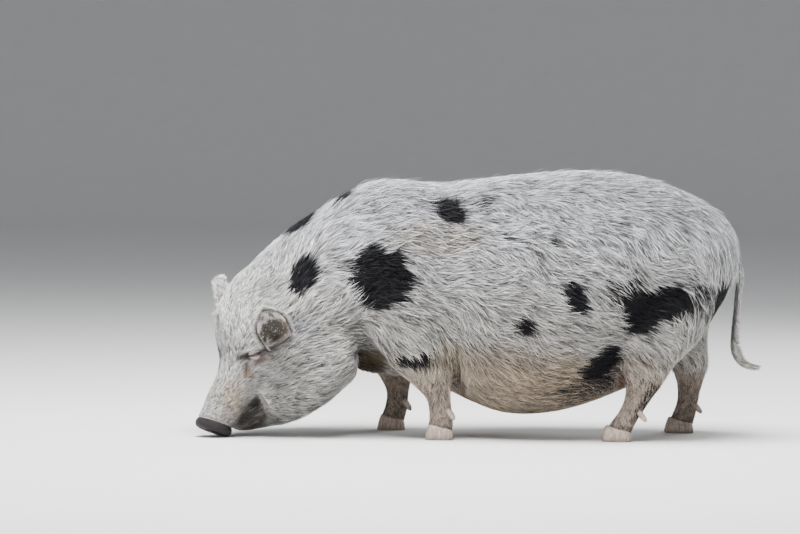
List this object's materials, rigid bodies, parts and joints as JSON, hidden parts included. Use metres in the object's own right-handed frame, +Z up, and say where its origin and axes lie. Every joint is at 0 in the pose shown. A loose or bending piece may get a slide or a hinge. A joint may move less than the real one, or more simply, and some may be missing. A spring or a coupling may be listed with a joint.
{
  "type": "gottingen minipig",
  "caption": "Life-size spotted minipig standing with its head down, rooting with its snout on the ground, in a pale bristly coat with dark patches",
  "frame": {"origin": "on the floor, under the middle of the part's box", "axes": "+Z up; the animal faces -X, its tail is towards +X and its left side is towards -Y"},
  "size_m": [0.9299, 0.3433, 0.4442],
  "materials": {
    "coat": "pale bristly hair in overlapping locks with black patches",
    "leg_skin": "cream to pink skin under short hair",
    "ear_skin": "thin greyish pink skin with pale hair on the rim",
    "eye": "wet dark brown eye",
    "nose": "damp dark grey-purple skin",
    "tail_hair": "short hair that ends in a pale tuft",
    "horn": "dull worn horn of claws and dewclaws"
  },
  "bodies": {
    "root": {"head": "coat", "neck": "coat", "torso": "coat", "snout": "nose", "ear_left": "ear_skin", "ear_right": "ear_skin", "eye_left": "eye", "eye_right": "eye", "foreleg_left": "leg_skin", "foreleg_right": "leg_skin", "hindleg_left": "leg_skin", "hindleg_right": "leg_skin", "tail": "tail_hair", "hoof_fore_left_outer": "horn", "hoof_fore_left_inner": "horn", "hoof_fore_right_outer": "horn", "hoof_fore_right_inner": "horn", "hoof_hind_left_outer": "horn", "hoof_hind_left_inner": "horn", "hoof_hind_right_outer": "horn", "hoof_hind_right_inner": "horn", "dewclaw_fore_left_outer": "horn", "dewclaw_fore_left_inner": "horn", "dewclaw_fore_right_outer": "horn", "dewclaw_fore_right_inner": "horn", "dewclaw_hind_left_outer": "horn", "dewclaw_hind_left_inner": "horn", "dewclaw_hind_right_outer": "horn", "dewclaw_hind_right_inner": "horn"}
  },
  "joints": []
}
